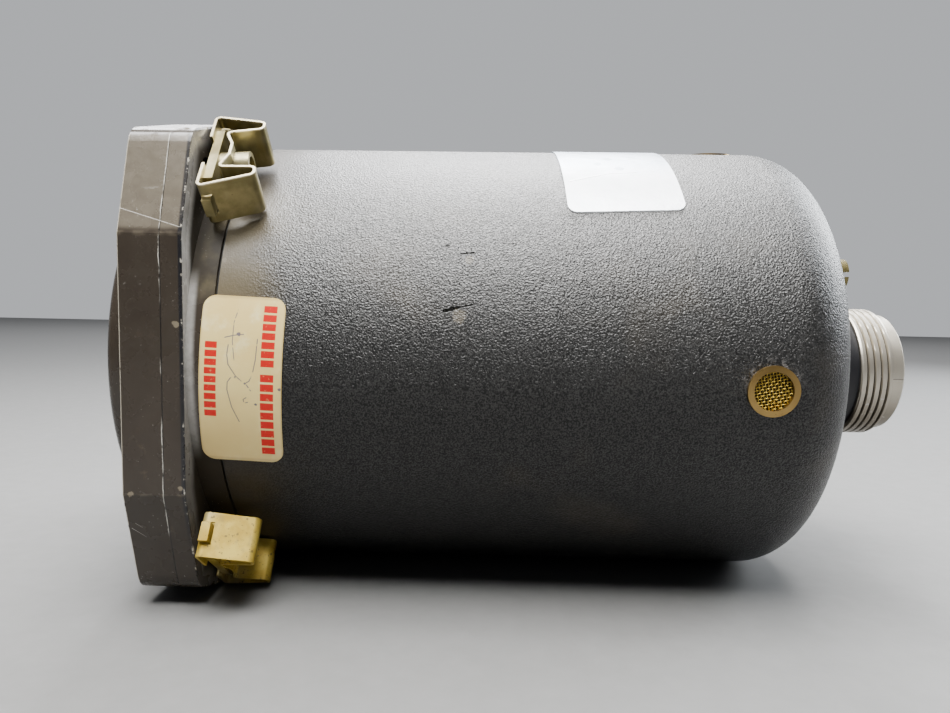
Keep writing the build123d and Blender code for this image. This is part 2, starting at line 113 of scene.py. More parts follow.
class Shader:
    """A node material, with short calls for what the finishes share."""

    def __init__(self, name, metallic=0.0, specular=0.5):
        self.material = bpy.data.materials.new(name)
        self.material.use_nodes = True
        self.tree = self.material.node_tree
        self.bsdf = self.tree.nodes["Principled BSDF"]
        self.bsdf.inputs["Metallic"].default_value = metallic
        self.bsdf.inputs["Specular IOR Level"].default_value = specular
        self.place = self.add("ShaderNodeTexCoord").outputs["Object"]
        self.x, self.y, self.z = self.add("ShaderNodeSeparateXYZ", self.place).outputs
        self.heights = []

    def add(self, kind, *values):
        """New node whose first inputs take the values, in order."""
        node = self.tree.nodes.new(kind)
        for socket, value in zip(node.inputs, values):
            self.feed(socket, value)
        return node

    def feed(self, socket, value):
        """Link a socket, or set a plain value."""
        if isinstance(value, bpy.types.NodeSocket):
            self.tree.links.new(value, socket)
        else:
            socket.default_value = value

    def math(self, operation, *values):
        """One math node."""
        node = self.add("ShaderNodeMath", *values)
        node.operation = operation
        return node.outputs[0]

    def vector(self, operation, *values):
        """One vector math node."""
        node = self.add("ShaderNodeVectorMath", *values)
        node.operation = operation
        return node

    def chain(self, operation, values):
        """One operation over several values, in order."""
        total = values[0]
        for value in values[1:]:
            total = self.math(operation, total, value)
        return total

    def most(self, *values):
        """Largest of several values."""
        return self.chain("MAXIMUM", values)

    def times(self, *values):
        """Product of several values."""
        return self.chain("MULTIPLY", values)

    def plus(self, *values):
        """Sum of several values."""
        return self.chain("ADD", values)

    def less(self, value, amount):
        """A value less an amount."""
        return self.math("SUBTRACT", value, amount)

    def unsigned(self, value):
        """A value without its sign."""
        return self.math("ABSOLUTE", value)

    def step(self, value, low, high):
        """Smooth rise from 0 at low to 1 at high; falls where low is the larger."""
        node = self.add("ShaderNodeMapRange", value, low, high, 0.0, 1.0)
        node.interpolation_type = "SMOOTHSTEP"
        return node.outputs[0]

    def ramp(self, length, low, high):
        """The same step over a length, between two places in millimetres."""
        return self.step(length, low * MM, high * MM)

    def near(self, length, centre, reach):
        """1 close to a place in millimetres, fading to 0 at the reach."""
        gap = self.unsigned(self.less(length, centre * MM))
        return self.ramp(gap, reach, reach * 0.4)

    def blend(self, factor, low, high):
        """Number that goes from low to high as the factor goes from 0 to 1."""
        return self.math("MULTIPLY_ADD", factor, high - low, low)

    def noise(self, scale, detail=3.0, rough=0.55, place=None):
        """Noise from about 0 to 1; scale is in lumps a metre."""
        node = self.add("ShaderNodeTexNoise", place or self.place)
        node.inputs["Scale"].default_value = scale
        node.inputs["Detail"].default_value = detail
        node.inputs["Roughness"].default_value = rough
        return node.outputs[0]

    def varied(self, low, high, scale=200):
        """Roughness or the like that wanders between two values."""
        return self.blend(self.noise(scale, 4.0), low, high)

    def cells(self, scale):
        """Distance to the nearest of scattered points, smoothed."""
        node = self.tree.nodes.new("ShaderNodeTexVoronoi")
        node.feature = "SMOOTH_F1"
        self.feed(node.inputs["Vector"], self.place)
        node.inputs["Scale"].default_value = scale
        return node.outputs["Distance"]

    def stretch(self, x, y, z):
        """The place with each axis scaled."""
        return self.vector("MULTIPLY", self.place, (x, y, z)).outputs[0]

    def mix(self, factor, low, high):
        """Blend of two colours."""
        node = self.tree.nodes.new("ShaderNodeMix")
        node.data_type = "RGBA"
        self.feed(node.inputs[0], factor)
        for socket, value in ((node.inputs[6], low), (node.inputs[7], high)):
            self.feed(socket, value if isinstance(value, bpy.types.NodeSocket) else (*value, 1.0))
        return node.outputs[2]

    def from_line(self, start, end):
        """Distance to the line between two points, and the nearest point's share of the way along it."""
        along = end - start
        offset = self.vector("SUBTRACT", self.place, start).outputs[0]
        share = self.vector("DOT_PRODUCT", offset, along / along.length_squared).outputs["Value"]
        share = self.math("MINIMUM", self.math("MAXIMUM", share, 0.0), 1.0)
        nearest = self.vector("SCALE", along)
        self.feed(nearest.inputs["Scale"], share)
        return self.vector("DISTANCE", offset, nearest.outputs[0]).outputs["Value"], share

    def spot(self, centre, radius, ragged=0.9):
        """Ragged round mark, 1 inside."""
        distance = self.vector("DISTANCE", self.place, centre).outputs["Value"]
        rough = self.blend(self.noise(1800), -ragged * radius * MM, ragged * radius * MM)
        return self.ramp(self.plus(distance, rough), radius * 1.15, radius * 0.85)

    def line(self, start, end, width, patchy, grain=900):
        """Scratch from start to end, 1 inside; patchy is how much of it is broken away."""
        distance, _ = self.from_line(start, end)
        mask = self.ramp(distance, width * 0.6, width * 0.25)
        return self.times(mask, self.step(self.noise(grain), patchy - 0.05, patchy + 0.05))

    def wedge(self, start, end, width):
        """Ragged dent that tapers from its start to its end, 1 inside."""
        distance, share = self.from_line(start, end)
        rough = self.blend(self.noise(1500), -0.45 * width * MM, 0.45 * width * MM)
        half = self.blend(share, 0.5 * width * MM, 0.125 * width * MM)
        return self.ramp(self.less(self.plus(distance, rough), half), 0.10 * width, -0.10 * width)

    def raise_by(self, height, relief):
        """Add a relief in millimetres to the material's bump; the height runs from 0 to 1."""
        self.heights.append(self.times(height, relief))

    def gloss(self, level):
        """Set a gloss that differs over the surface."""
        self.feed(self.bsdf.inputs["Specular IOR Level"], level)

    def done(self, colour, roughness):
        """Finish the material and return it."""
        if isinstance(colour, bpy.types.NodeSocket):
            self.feed(self.bsdf.inputs["Base Color"], colour)
        else:
            self.bsdf.inputs["Base Color"].default_value = (*colour, 1.0)
        self.feed(self.bsdf.inputs["Roughness"], roughness)
        if self.heights:
            bump = self.tree.nodes.new("ShaderNodeBump")
            bump.inputs["Distance"].default_value = MM
            bump.inputs["Strength"].default_value = 1.0
            self.feed(bump.inputs["Height"], self.plus(*self.heights))
            self.feed(self.bsdf.inputs["Normal"], bump.outputs[0])
        return self.material


# Case paint: places along it and heights between which its look changes
GRAIN_SETS_IN = (7, 18)
BROWN_FADES = (16, 6)
TAN_FADES = (17, 7)
TAN_FOOT = (0, 12)
TAN_TOP = (31, 24)
SHEEN_RISES = (-10, 22)
REAR_RUBBED = (101.2, 103.0)
VENT_HALO = (5.6, 4.0)
VENT_HALO_FOOT = (-3, 1)
# Its marks: dents as start, end and width, pale tan spots as centre and radius, and one long scratch as
# start, end, width and how broken it is
DENTS = ((on_case(39.7, 13.0), on_case(43.8, 14.5), 0.62),
         (on_case(43.9, 26.8), on_case(41.2, 26.3), 0.34),
         (on_case(39.9, 28.5), on_case(38.7, 28.3), 0.30))
DENT_DEPTH = 0.30
# The two spots just below dents are painted light, the lit lower sides of those dents; the third, near the
# front, is a pale tan spot.
PALE_SPOTS_AND_DENT_LIGHT = ((on_case(43.2, 24.9), 0.75), (on_case(41.9, 11.9), 1.1), (on_case(4.9, 24.0), 0.4))
CASE_SCRATCH = (on_case(66, -58), on_case(92, -60), 0.5, 0.5)


def wrinkle_paint():
    """Black wrinkle paint of the case, with its dents, specks and rubbed rear edge; painted shade in the
    dents, painted light below two of them, and a painted sheen that rises with height.
    """
    s = Shader("wrinkle_paint", specular=0.85)
    grain = s.noise(3800, 2.5, 0.6)
    wrinkled = s.blend(s.ramp(s.x, *GRAIN_SETS_IN), 0.12, 1.0)
    s.raise_by(s.times(grain, wrinkled), 0.17)
    s.raise_by(s.times(s.cells(3300), wrinkled), 0.11)
    s.raise_by(s.noise(60, 2.0), 0.16)
    colour = s.mix(s.step(grain, 0.35, 0.7), (0.004, 0.004, 0.004), (0.014, 0.013, 0.012))
    brown = s.most(s.ramp(s.x, *BROWN_FADES), s.step(s.noise(38, 3.0), 0.55, 0.75))
    colour = s.mix(s.times(brown, 0.55), colour, (0.046, 0.036, 0.023))
    tan = s.times(s.ramp(s.x, *TAN_FADES), s.step(s.noise(90, 4.0), 0.30, 0.60),
                  s.ramp(s.z, *TAN_FOOT), s.ramp(s.z, *TAN_TOP))
    colour = s.mix(s.times(tan, 0.65), colour, (0.15, 0.12, 0.065))
    specks = s.times(s.step(s.noise(2600, 2.0), 0.72, 0.77), s.step(s.noise(120), 0.50, 0.68))
    colour = s.mix(s.times(specks, 0.6), colour, (0.30, 0.29, 0.27))
    dent_and_shade = s.most(*[s.wedge(*mark) for mark in DENTS])
    s.raise_by(s.less(1.0, dent_and_shade), DENT_DEPTH)
    ridges = s.times(s.step(grain, 0.40, 0.62), wrinkled)
    # Painted sheen: gloss rises with height, so the top shines and the lower part stays dark; the dents'
    # gloss is cut, painted shade.
    s.gloss(s.times(s.blend(s.ramp(s.z, *SHEEN_RISES), 0.42, 0.99), s.blend(ridges, 0.62, 1.47),
                    s.blend(dent_and_shade, 1.0, 0.06)))
    # Painted shade: the dents darkened.
    colour = s.mix(s.times(dent_and_shade, 0.9), colour, (0.004, 0.004, 0.003))
    # Pale tan spots, two of them painted light below the dents.
    pale_spots_and_dent_light = s.most(*[s.spot(*mark, 0.8) for mark in PALE_SPOTS_AND_DENT_LIGHT])
    colour = s.mix(s.times(pale_spots_and_dent_light, 0.22), colour, (0.30, 0.25, 0.17))
    from_vent = s.vector("DISTANCE", s.place, on_case(*SIDE_VENT)).outputs["Value"]
    halo = s.times(s.ramp(from_vent, *VENT_HALO), s.ramp(s.z, *VENT_HALO_FOOT),
                   s.step(s.noise(1500, 3.0), 0.48, 0.62))
    rear = s.times(s.ramp(s.x, *REAR_RUBBED), s.step(s.noise(420, 5.0, 0.7), 0.60, 0.68))
    rubbed = s.most(rear, halo, s.line(*CASE_SCRATCH))
    colour = s.mix(s.times(rubbed, 0.5), colour, (0.22, 0.21, 0.20))
    return s.done(colour, s.varied(0.30, 0.46, 900))


# Enamel of flange and bezel: depths in from the outline's edge, places along X and heights
SKIN_DEPTH = (0.45, 0.25)
FRONT_RIM_DEPTH = (0.30, 0.12)
UPPER_FACET_LIGHT_RISES = (20.4, 21.4)
JOINT_HALF = 0.10
JOINT_SHADOW_HALF = 0.14
JOINT_WANDER = 0.20
JOINT_UPPER = (11.5, 13)
FRONT_EDGE_HALF = 0.16
REAR_EDGE_HALF = 0.30
REAR_SHADOW = (-0.15, 0.55)
REAR_SHADOW_FOOT = (-34, -20)
BEHIND_REAR = (-0.06, -0.02)
BAND_EDGE = (0.10, 0.30)
BAND_INNER = (3.9, 2.2)
BAND_REAR = (1.6, 0.7)
BAND_FOOT = (-30, 10)
BAND_TOP = (34, 25)
COLLAR_DEPTH = (1.7, 3.0)
COLLAR_LIGHT_ALONG = (0.6, 2.2)
COLLAR_LIGHT_FOOT = (2, 12)
ENAMEL_SHEEN_RISES = (-10, 21)
CROWN_GLINT_FOOT = (35.2, 36.4)
CROWN_GLINT_SIDE = (-19, -21)
UPPER_BEND_HALF = 0.55
LOWER_BEND_HALF = 0.30
SCUFFED_FOOT = (20, 22)
SCUFFED_ALONG = (-7.5, -5)
# Its scratches as start, end, width and how broken they are, and tan spots as centre and radius
ENAMEL_CUTS = ((at(-9.79, -40.23, 23.9), at(-0.34, -41.0, 21.1), 0.11, 0.38),
               (at(-9.3, -39.7, -25.9), at(-7.2, -39.3, -27.4), 0.09, 0.40),
               (at(-9.0, -39.6, -26.4), at(-6.9, -39.2, -27.9), 0.08, 0.40),
               (at(-8.6, -39.9, -25.0), at(-7.6, -39.7, -25.7), 0.08, 0.40))
ENAMEL_SPOTS = ((at(-0.75, -41.2, -18.9), 0.42), (at(-1.1, -41.2, 6.5), 0.50), (at(-8.6, -41.2, -20.0), 0.45))


def outline_depth(s):
    """How far a point lies in from the edge of the outline that flange and bezel share, in metres."""
    y, z = s.unsigned(s.y), s.unsigned(s.z)
    lean = atan2(flange_half / MM - CORNER_REACH, CORNER_REACH - CROWN_HALF)
    c, n = cos(lean), sin(lean)
    reach = flange_half * c + CROWN_HALF * MM * n
    crown = s.most(s.plus(s.times(y, c), s.times(z, n)), s.plus(s.times(z, c), s.times(y, n)))
    return s.times(s.most(s.less(crown, reach), s.less(s.most(y, z), flange_half)), -1.0)


def enamel_ground(s, skin):
    """Brown-black of the enamel, blotched, with painted light on the outline's upper facets."""
    colour = s.mix(s.noise(160, 4.0), (0.028, 0.021, 0.015), (0.050, 0.040, 0.030))
    blotch = s.times(s.step(s.noise(300, 4.0, 0.6), 0.60, 0.72), s.step(s.noise(70, 2.0), 0.45, 0.6))
    colour = s.mix(s.times(blotch, 0.30), colour, (0.16, 0.12, 0.075))
    # Painted light: the upper facets made paler in patches, as lit from above.
    upper_facet_light = s.times(skin, s.ramp(s.z, *UPPER_FACET_LIGHT_RISES), s.blend(s.noise(600, 4.0), 0.35, 0.85))
    return s.mix(upper_facet_light, colour, (0.19, 0.165, 0.125))


def joint_wear(s, colour, skin, depth):
    """Bare, wandering line where flange and bezel meet, and the bezel's worn front edge."""
    wander = s.blend(s.noise(350, 3.0), -JOINT_WANDER * MM, JOINT_WANDER * MM)
    stretches = s.most(s.ramp(s.z, *JOINT_UPPER), s.step(s.noise(70, 2.0), 0.50, 0.58))
    bare = s.times(s.near(s.plus(s.x, wander), joint_x / MM, JOINT_HALF), skin, stretches,
                   s.step(s.noise(700), 0.30, 0.60))
    shadow = s.times(s.near(s.x, joint_x / MM + JOINT_HALF, JOINT_SHADOW_HALF), skin)
    colour = s.mix(s.times(shadow, 0.85), colour, (0.006, 0.005, 0.005))
    colour = s.mix(s.times(bare, 0.85), colour, (0.58, 0.56, 0.50))
    front = s.times(s.near(s.x, plate_front / MM, FRONT_EDGE_HALF), s.ramp(depth, *FRONT_RIM_DEPTH),
                    s.step(s.noise(500, 3.0), 0.30, 0.42))
    return s.mix(s.times(front, 0.85), colour, (0.48, 0.44, 0.36))


def rear_edge_wear(s, colour, skin):
    """Dark line along the flange's rear edge, with worn, pitted and chipped places."""
    fine = s.noise(900, 4.0, 0.65)
    edge = s.times(s.near(s.x, 0.0, REAR_EDGE_HALF), skin)
    shadow = s.times(s.near(s.x, *REAR_SHADOW), skin, s.ramp(s.z, *REAR_SHADOW_FOOT))
    colour = s.mix(s.times(edge, s.step(fine, 0.54, 0.60), 0.85), colour, (0.48, 0.44, 0.36))
    colour = s.mix(s.times(edge, s.step(fine, 0.44, 0.38)), colour, (0.006, 0.006, 0.005))
    colour = s.mix(s.times(shadow, 0.85), colour, (0.008, 0.009, 0.013))
    return s.mix(s.times(edge, s.step(fine, 0.57, 0.62), 0.85), colour, (0.50, 0.47, 0.40))


def rear_face_light_and_shade(s, colour, depth, collar):
    """Collar with painted shade, and painted tan light on its upper part; a painted highlight in a band round
    the flange's rear face.
    """
    # Painted shade: the collar behind the flange darkened.
    colour = s.mix(s.times(collar, 0.7), colour, (0.026, 0.021, 0.013))
    # Painted light: patchy tan on the collar's upper part.
    tan = s.times(collar, s.step(s.noise(150, 4.0), 0.45, 0.65), s.ramp(s.x, *COLLAR_LIGHT_ALONG),
                  s.ramp(s.z, *COLLAR_LIGHT_FOOT))
    colour = s.mix(s.times(tan, 0.5), colour, (0.12, 0.10, 0.055))
    # Painted highlight: a bright, mottled band round the flange's rear face, fading low and high.
    lit_band = s.times(s.ramp(s.x, *BEHIND_REAR), s.ramp(depth, *BAND_EDGE), s.ramp(depth, *BAND_INNER),
                   s.ramp(s.x, *BAND_REAR))
    band_highlight = s.times(s.blend(s.step(s.noise(420, 5.0, 0.7), 0.35, 0.65), 0.65, 0.90),
                    s.blend(s.ramp(s.z, *BAND_FOOT), 0.20, 1.0),
                    s.blend(s.ramp(s.z, *BAND_TOP), 0.25, 1.0), 0.68)
    return s.mix(s.times(lit_band, band_highlight), colour, (0.60, 0.585, 0.55))


def enamel_marks(s, colour, skin):
    """Painted highlight on the crown, rubbed bends, scratches, scuffs, tan spots and specks."""
    # Painted highlight: a ragged white glint along the crown's upper front facet.
    crown = s.times(skin, s.ramp(s.z, *CROWN_GLINT_FOOT), s.ramp(s.y, *CROWN_GLINT_SIDE),
                    s.step(s.noise(500, 4.0), 0.30, 0.50))
    colour = s.mix(s.times(crown, 0.8), colour, (0.85, 0.86, 0.90))
    bends = s.most(s.near(s.z, CROWN_HALF, UPPER_BEND_HALF), s.near(s.z, -CROWN_HALF, LOWER_BEND_HALF))
    colour = s.mix(s.times(bends, skin, s.step(s.noise(500), 0.42, 0.62), 0.22), colour, (0.20, 0.17, 0.12))
    cuts = s.most(*[s.line(*mark) for mark in ENAMEL_CUTS])
    colour = s.mix(s.times(cuts, 0.9), colour, (0.60, 0.57, 0.52))
    scuffs = s.times(s.step(s.noise(420, 5.0, 0.7, s.stretch(0.35, 1, 1.8)), 0.63, 0.68),
                     s.ramp(s.z, *SCUFFED_FOOT), s.ramp(s.x, *SCUFFED_ALONG), 0.35)
    colour = s.mix(scuffs, colour, (0.40, 0.38, 0.34))
    tan = s.most(*[s.spot(*mark) for mark in ENAMEL_SPOTS])
    colour = s.mix(s.times(tan, 0.45), colour, (0.38, 0.32, 0.22))
    specks = s.times(s.step(s.noise(2600, 1.0), 0.72, 0.77), s.step(s.noise(150), 0.48, 0.66))
    return s.mix(s.times(specks, 0.7), colour, (0.34, 0.32, 0.29))


def flange_enamel():
    """Semi-gloss brown-black enamel of flange and bezel, worn along its edges, with painted light and shade
    on its facets, collar and rear face.
    """
    s = Shader("flange_enamel", specular=0.75)
    s.raise_by(s.noise(900, 3.0), 0.030)
    s.raise_by(s.noise(130, 2.0), 0.10)
    depth = outline_depth(s)
    skin = s.ramp(depth, *SKIN_DEPTH)
    collar = s.times(s.ramp(depth, *COLLAR_DEPTH), s.ramp(s.x, *BEHIND_REAR))
    colour = enamel_ground(s, skin)
    colour = joint_wear(s, colour, skin, depth)
    colour = rear_edge_wear(s, colour, skin)
    colour = rear_face_light_and_shade(s, colour, depth, collar)
    colour = enamel_marks(s, colour, skin)
    # Painted sheen: gloss rises with height, keeping the lower flat dark; it is cut on the collar, painted
    # shade.
    s.gloss(s.times(s.blend(s.ramp(s.z, *ENAMEL_SHEEN_RISES), 0.40, 0.71), s.blend(collar, 1.0, 0.35)))
    return s.done(colour, s.plus(s.varied(0.20, 0.34, 260), s.times(collar, 0.22)))


# Distance of the clean clips' cut edges, out from the axis along the corner's diagonal
CUT_EDGES = (47.9, 48.1)


def cadmium(name, speckle, dark, light, cut_edges=False):
    """Yellow passivated plate of clips, nuts and screws; speckle sets how much brown has come through."""
    s = Shader(name, metallic=0.85 - 0.45 * speckle, specular=0.5)
    colour = s.mix(s.step(s.noise(230, 4.0), 0.35, 0.65), dark, light)
    colour = s.mix(s.times(s.step(s.noise(95, 3.0), 0.5, 0.7), 0.35), colour, (0.58, 0.55, 0.38))
    onset = 0.73 - 0.12 * speckle
    rust = s.step(s.noise(1500, 3.0, 0.6), onset, onset + 0.05)
    stains = s.times(s.step(s.noise(650, 4.0), 0.56, 0.70), 0.35 * speckle)
    colour = s.mix(s.times(rust, 0.75), colour, (0.10, 0.075, 0.028))
    colour = s.mix(stains, colour, (0.22, 0.17, 0.07))
    if cut_edges:
        outward = s.times(s.plus(s.unsigned(s.y), s.unsigned(s.z)), sqrt(0.5))
        colour = s.mix(s.times(s.ramp(outward, *CUT_EDGES), 0.8), colour, (0.74, 0.66, 0.47))
    s.raise_by(s.noise(2000, 3.0, 0.5, s.stretch(1, 1, 0.2)), 0.02)
    s.raise_by(s.noise(300, 2.0), 0.05)
    return s.done(colour, s.varied(0.22 + 0.18 * speckle, 0.38 + 0.18 * speckle, 500))


def machined(name, light, dark, rough=(0.28, 0.5), turned=True):
    """Machined metal with slight tarnish, and fine turning marks round X where it is turned."""
    s = Shader(name, metallic=1.0)
    colour = s.mix(s.noise(260, 4.0), dark, light)
    stain = s.step(s.noise(700, 5.0, 0.7), 0.60, 0.70)
    colour = s.mix(s.times(stain, 0.5), colour, tuple(0.45 * c for c in dark))
    if turned:
        s.raise_by(s.noise(4000, 2.0, 0.5, s.stretch(1, 0.04, 0.04)), 0.012)
    s.raise_by(s.noise(500, 3.0), 0.02)
    return s.done(colour, s.varied(*rough, 500))


# Connector shell: its steps as in the CAD, and the coupling thread
BACKING_THICK = 2.0
BARREL_R = 11.0
NOSE_R = 11.55
SOCKET_R = 10.2
NOSE_BEVEL = 0.35
NOSE_STEP_BEVEL = 0.25
MOUTH_BEVEL = 0.3
THREAD_START = 116.9
THREAD_END = 122.9
THREAD_PITCH = 1.27
THREAD_CREST = 12.68
THREAD_DEPTH = 0.60
THREAD_FADE = 0.35
THREAD_END_DROP = 0.10
THREAD_SHOULDER = 0.5
THREAD_STEP = 0.08
GROOVE_FLOOR = 0.04
GROOVE_FLANK = 0.34
SHELL_SEGMENTS = 168
ROOT_DEPTH = (0.18, 0.53)
ROOT_ALONG = ((THREAD_START - 0.3, THREAD_START), (THREAD_END + 0.1, THREAD_END - 0.1))
LOWER_SHADE_FALLS = (0, -12)
NOSE_SEAM = (-2.6, 0.08)
NOSE_SEAM_ALONG = (THREAD_END, THREAD_END + 0.2)
NOSE_SEAM_SIDE = (0, -1)


def connector_alloy():
    """Dull alloy of the threaded shell: grey, with painted shade below and in the thread's roots."""
    s = Shader("connector_alloy", metallic=0.9)
    drop = s.plus(s.z, CONNECTOR_DROP * MM)
    radius = s.math("SQRT", s.plus(s.math("POWER", s.y, 2.0), s.math("POWER", drop, 2.0)))
    colour = s.mix(s.noise(240, 4.0), (0.50, 0.455, 0.375), (0.74, 0.69, 0.59))
    # Painted shade: the lower side darkened to brown.
    colour = s.mix(s.times(s.ramp(s.z, *LOWER_SHADE_FALLS), 0.9), colour, (0.11, 0.092, 0.068))
    # Painted shade in the thread's roots.
    roots = s.times(s.ramp(radius, *[THREAD_CREST - depth for depth in ROOT_DEPTH]),
                    *[s.ramp(s.x, *ends) for ends in ROOT_ALONG])
    colour = s.mix(s.times(roots, 0.8), colour, (0.045, 0.038, 0.032))
    scuffs = s.step(s.noise(900, 5.0, 0.7), 0.62, 0.68)
    colour = s.mix(s.times(scuffs, 0.35), colour, (0.80, 0.79, 0.76))
    seam = s.times(s.near(s.z, *NOSE_SEAM), s.ramp(s.x, *NOSE_SEAM_ALONG), s.ramp(s.y, *NOSE_SEAM_SIDE))
    colour = s.mix(s.times(seam, 0.8), colour, (0.05, 0.045, 0.04))
    s.raise_by(s.noise(3500, 2.0, 0.5, s.stretch(1, 0.05, 0.05)), 0.01)
    return s.done(colour, s.varied(0.32, 0.50, 500))


# Print on the sticker: rows of blocks as their low and high side, their ends and their number
PRINTED_ROWS = (((3.1, 5.15), (2.4, 11.8), 7),
                ((3.1, 5.15), (-11.8, 1.25), 9),
                ((-5.6, -3.75), (-5.75, 5.9), 9))
BLOCK_GAP = 0.32
PRINT_SOFT = 0.05
# Pen strokes on it as points, width and how broken each is; then blots as place and radius
PEN_STROKES = (
    (((-0.9, 10.9), (-1.35, 9.0), (-1.4, 6.1), (-1.0, 3.2)), 0.16, 0.45),
    (((-2.0, 5.5), (-2.15, 4.0), (-1.9, 2.5), (-0.7, 0.8), (0.7, -0.35)), 0.18, 0.36),
    (((0.7, -0.35), (1.4, 0.1), (1.9, 1.2), (2.3, 3.5), (2.45, 6.6)), 0.18, 0.40),
    (((-0.6, 0.55), (-1.45, 0.5), (-1.95, -0.2), (-2.0, -1.4), (-1.3, -4.1), (-0.2, -6.4)), 0.18, 0.38),
    (((-2.6, 6.6), (-1.2, 7.0), (0.25, 7.2)), 0.18, 0.40),
    (((1.0, -0.5), (1.65, -1.35)), 0.20, 0.36),
    (((0.95, -2.5), (0.5, -2.8), (0.65, -3.4), (1.2, -3.2)), 0.16, 0.36))
BLOTS = (((-0.5, 7.2), 0.26), ((0.75, -0.3), 0.20), ((-0.8, 0.65), 0.14), ((2.4, -3.5), 0.22),
         ((6.1, -0.9), 0.24))
# Soiled rim and yellower lower part, from the sticker's middle
RIM_ALONG = (6.1, 6.4)
RIM_ACROSS = (12.5, 12.95)
YELLOW_FALLS = (2.0, -12.0)


def unrolled(s):
    """Millimetres along and round the case in the sticker's own turned frame, from its middle."""
    angle = s.math("ARCTAN2", s.z, s.times(s.y, -1.0))
    along = s.less(s.math("DIVIDE", s.x, MM), STICKER_MIDDLE[0])
    across = s.less(s.times(angle, case_r / MM), STICKER_MIDDLE[1])
    c, n = cos(STICKER_TURN), sin(STICKER_TURN)
    return s.less(s.times(along, c), s.times(across, n)), s.plus(s.times(along, n), s.times(across, c))


def block_row(s, along, across, sides, ends, count):
    """A printed row of plain blocks."""
    soft = PRINT_SOFT
    inside = s.times(*[s.times(s.step(value, low - soft, low + soft), s.step(value, high + soft, high - soft))
                       for value, (low, high) in ((along, sides), (across, ends))])
    pitch = (ends[1] - ends[0] + BLOCK_GAP) / count
    filled = 1.0 - BLOCK_GAP / pitch
    phase = s.math("FRACT", s.times(s.less(across, ends[0]), 1 / pitch))
    return s.times(inside, s.step(phase, filled + soft, filled - soft))


def sticker_paper():
    """Aged cream paper with rows of plain red blocks, a pen squiggle and a soiled rim."""
    s = Shader("sticker_paper", specular=0.35)
    along, across = unrolled(s)
    colour = s.mix(s.noise(110, 4.0), (0.72, 0.50, 0.15), (0.92, 0.77, 0.34))
    colour = s.mix(s.times(s.step(s.noise(230, 5.0, 0.6), 0.52, 0.7), 0.5), colour, (0.95, 0.87, 0.52))
    colour = s.mix(s.times(s.step(across, *YELLOW_FALLS), 0.35), colour, (0.66, 0.50, 0.24))
    pen = [s.line(on_sticker(*start), on_sticker(*end), width, patchy, 800)
           for points, width, patchy in PEN_STROKES for start, end in zip(points, points[1:])]
    blots = [s.spot(on_sticker(*place), radius) for place, radius in BLOTS]
    colour = s.mix(s.times(s.most(*pen, *blots), 0.9), colour, (0.11, 0.10, 0.15))
    rows = s.most(*[block_row(s, along, across, *row) for row in PRINTED_ROWS])
    ink = s.blend(s.step(s.noise(1900, 3.0), 0.30, 0.38), 0.75, 1.0)
    colour = s.mix(s.times(rows, ink), colour, (0.60, 0.010, 0.005))
    rim = s.most(s.step(s.unsigned(along), *RIM_ALONG), s.step(s.unsigned(across), *RIM_ACROSS))
    colour = s.mix(s.times(rim, 0.35), colour, (0.34, 0.22, 0.10))
    s.raise_by(s.noise(1200, 4.0), 0.02)
    s.raise_by(s.noise(140, 2.0), 0.08)
    return s.done(colour, s.varied(0.42, 0.62, 300))


def on_label(along, angle):
    """Point on the label's face."""
    return on_case(along, angle, LABEL_THICK)


# Label: creases as start, end, width and how broken they are, smudges as centre and radius, and its blue top,
# a painted reflection
CREASES = ((on_label(59.5, 50), on_label(66, 54), 0.35, 0.36, 300),
           (on_label(66, 54), on_label(71, 55), 0.30, 0.36, 300))
CREASE_RISE = 0.10
SMUDGES = ((on_label(64.8, 60), 0.7), (on_label(68.4, 57), 0.8), (on_label(66.8, 64), 0.8))
BLUE_REFLECTION_RISES = (32, 36)


def label_foil():
    """Satin foil label, bare and clouded, with a faint crease, smudges, rubbed corners and a painted bluish
    reflection along its top.
    """
    s = Shader("label_foil", metallic=0.60, specular=0.6)
    colour = s.mix(s.noise(160, 5.0, 0.6), (0.56, 0.59, 0.63), (0.86, 0.88, 0.90))
    # Painted reflection: the label's top tinted blue.
    colour = s.mix(s.times(s.ramp(s.z, *BLUE_REFLECTION_RISES), 0.6), colour, (0.42, 0.50, 0.60))
    creases = s.most(*[s.line(*mark) for mark in CREASES])
    s.raise_by(creases, CREASE_RISE)
    s.raise_by(s.noise(210, 4.0), 0.16)
    s.raise_by(s.noise(1800, 2.0), 0.01)
    colour = s.mix(s.times(creases, 0.5), colour, (0.95, 0.95, 0.95))
    smudges = s.most(*[s.spot(*mark) for mark in SMUDGES])
    colour = s.mix(s.times(smudges, 0.55), colour, (0.20, 0.26, 0.32))
    rubbed = s.times(s.step(s.noise(800, 5.0, 0.7), 0.64, 0.70), s.step(s.noise(160), 0.52, 0.62))
    colour = s.mix(s.times(rubbed, 0.35), colour, (0.30, 0.31, 0.33))
    return s.done(colour, s.varied(0.26, 0.44, 240))


def plain(name, low, high, rough, grain=900, relief=0.01):
    """Paint, rubber or plastic with grain and slight variation."""
    s = Shader(name)
    colour = s.mix(s.noise(220, 4.0), low, high)
    s.raise_by(s.noise(grain, 3.0), relief)
    return s.done(colour, s.varied(*rough, 400))


def clear_glass():
    """Clear cover glass with faint smears."""
    s = Shader("cover_glass", specular=0.6)
    s.bsdf.inputs["Alpha"].default_value = 0.14
    smears = s.step(s.noise(60, 5.0, 0.6), 0.5, 0.8)
    return s.done((0.05, 0.06, 0.06), s.blend(smears, 0.03, 0.13))


def dress(material, *names):
    """Give CAD nodes a material."""
    for name in names:
        data = nodes[name].data
        data.materials.clear()
        data.materials.append(material)


